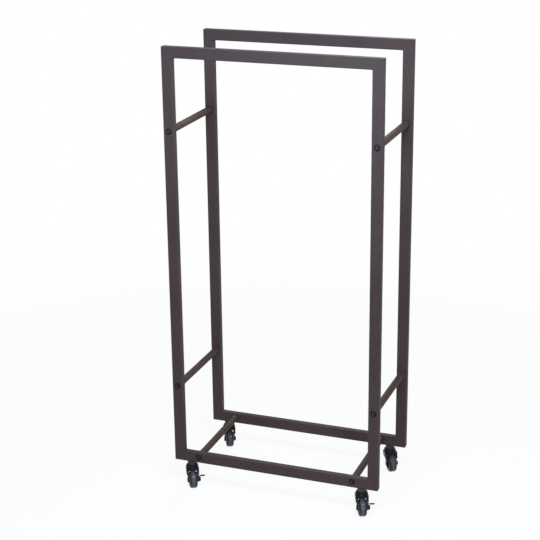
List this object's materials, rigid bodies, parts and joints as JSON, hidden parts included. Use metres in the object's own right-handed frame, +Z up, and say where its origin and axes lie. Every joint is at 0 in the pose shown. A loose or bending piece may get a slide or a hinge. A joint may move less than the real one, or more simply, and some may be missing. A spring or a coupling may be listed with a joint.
{
  "type": "log carrier",
  "caption": "Upright rolling firewood rack: two welded tube frames joined by round rods, on swivel castors, the front ones with brake levers.",
  "frame": {"origin": "on the floor, at the middle of the two frames' footprint", "axes": "+Z up, -Y to the front (the frame with the two braked castors), +X to the right seen from the front"},
  "size_m": [0.5, 0.2841, 1.0482],
  "materials": {
    "frame_coat": "fine satin powder coat, anthracite with a brown cast",
    "rod_coat": "fine satin powder coat, a little lighter and browner",
    "screw_black": "black oxide, semi-gloss",
    "castor_black": "black electro-coat on pressed steel, glossy",
    "tyre_grey": "smooth dark grey rubber, semi-gloss",
    "hub_plastic": "moulded black plastic",
    "bare_steel": "zinc-plated steel, inside the castors"
  },
  "bodies": {
    "root": {"front_left_post": "frame_coat", "front_right_post": "frame_coat", "front_top_rail": "frame_coat", "front_bottom_rail": "frame_coat", "rear_left_post": "frame_coat", "rear_right_post": "frame_coat", "rear_top_rail": "frame_coat", "rear_bottom_rail": "frame_coat", "upper_left_rod": "rod_coat", "upper_right_rod": "rod_coat", "lower_left_rod": "rod_coat", "lower_right_rod": "rod_coat", "floor_left_rod": "rod_coat", "floor_right_rod": "rod_coat", "front_rod_screws": "screw_black", "rear_rod_screws": "screw_black", "castor_collars": "frame_coat", "castor_collar_welds": "frame_coat", "front_left_swivel_stem": "bare_steel", "front_left_swivel_cap": "castor_black", "front_left_swivel_balls": "bare_steel", "front_right_swivel_stem": "bare_steel", "front_right_swivel_cap": "castor_black", "front_right_swivel_balls": "bare_steel", "rear_left_swivel_stem": "bare_steel", "rear_left_swivel_cap": "castor_black", "rear_left_swivel_balls": "bare_steel", "rear_right_swivel_stem": "bare_steel", "rear_right_swivel_cap": "castor_black", "rear_right_swivel_balls": "bare_steel"},
    "front_left_castor": {"front_left_fork": "castor_black", "front_left_axle_bolt": "castor_black", "front_left_axle_spacer": "bare_steel", "front_left_axle_nut": "castor_black"},
    "front_left_wheel": {"front_left_wheel_hub": "hub_plastic", "front_left_tyre": "tyre_grey"},
    "front_left_brake": {"front_left_brake_lever": "castor_black"},
    "front_right_castor": {"front_right_fork": "castor_black", "front_right_axle_bolt": "castor_black", "front_right_axle_spacer": "bare_steel", "front_right_axle_nut": "castor_black"},
    "front_right_wheel": {"front_right_wheel_hub": "hub_plastic", "front_right_tyre": "tyre_grey"},
    "front_right_brake": {"front_right_brake_lever": "castor_black"},
    "rear_left_castor": {"rear_left_fork": "castor_black", "rear_left_axle_bolt": "castor_black", "rear_left_axle_spacer": "bare_steel", "rear_left_axle_nut": "castor_black"},
    "rear_left_wheel": {"rear_left_wheel_hub": "hub_plastic", "rear_left_tyre": "tyre_grey"},
    "rear_right_castor": {"rear_right_fork": "castor_black", "rear_right_axle_bolt": "castor_black", "rear_right_axle_spacer": "bare_steel", "rear_right_axle_nut": "castor_black"},
    "rear_right_wheel": {"rear_right_wheel_hub": "hub_plastic", "rear_right_tyre": "tyre_grey"}
  },
  "joints": [
    {"name": "front_left_swivel", "type": "hinge", "parent": "root", "child": "front_left_castor", "pos_m": [-0.21, -0.1175, 0.0503], "axis": [0, 0, 1], "continuous": true},
    {"name": "front_left_wheel_spin", "type": "hinge", "parent": "front_left_castor", "child": "front_left_wheel", "pos_m": [-0.20273, -0.13062, 0.0205], "axis": [0.8746, 0.4848, 0], "continuous": true},
    {"name": "front_left_brake_press", "type": "hinge", "parent": "front_left_castor", "child": "front_left_brake", "pos_m": [-0.20273, -0.13062, 0.0205], "axis": [0.8746, 0.4848, 0], "range_deg": [0, 29]},
    {"name": "front_right_swivel", "type": "hinge", "parent": "root", "child": "front_right_castor", "pos_m": [0.21, -0.1175, 0.0503], "axis": [0, 0, 1], "continuous": true},
    {"name": "front_right_wheel_spin", "type": "hinge", "parent": "front_right_castor", "child": "front_right_wheel", "pos_m": [0.21586, -0.13131, 0.0205], "axis": [0.9205, 0.3907, 0], "continuous": true},
    {"name": "front_right_brake_press", "type": "hinge", "parent": "front_right_castor", "child": "front_right_brake", "pos_m": [0.21586, -0.13131, 0.0205], "axis": [0.9205, 0.3907, 0], "range_deg": [0, 29]},
    {"name": "rear_left_swivel", "type": "hinge", "parent": "root", "child": "rear_left_castor", "pos_m": [-0.21, 0.1175, 0.0503], "axis": [0, 0, 1], "continuous": true},
    {"name": "rear_left_wheel_spin", "type": "hinge", "parent": "rear_left_castor", "child": "rear_left_wheel", "pos_m": [-0.20366, 0.1039, 0.0205], "axis": [0.9063, 0.4226, 0], "continuous": true},
    {"name": "rear_right_swivel", "type": "hinge", "parent": "root", "child": "rear_right_castor", "pos_m": [0.21, 0.1175, 0.0503], "axis": [0, 0, 1], "continuous": true},
    {"name": "rear_right_wheel_spin", "type": "hinge", "parent": "rear_right_castor", "child": "rear_right_wheel", "pos_m": [0.21795, 0.10478, 0.0205], "axis": [0.848, 0.5299, 0], "continuous": true}
  ]
}
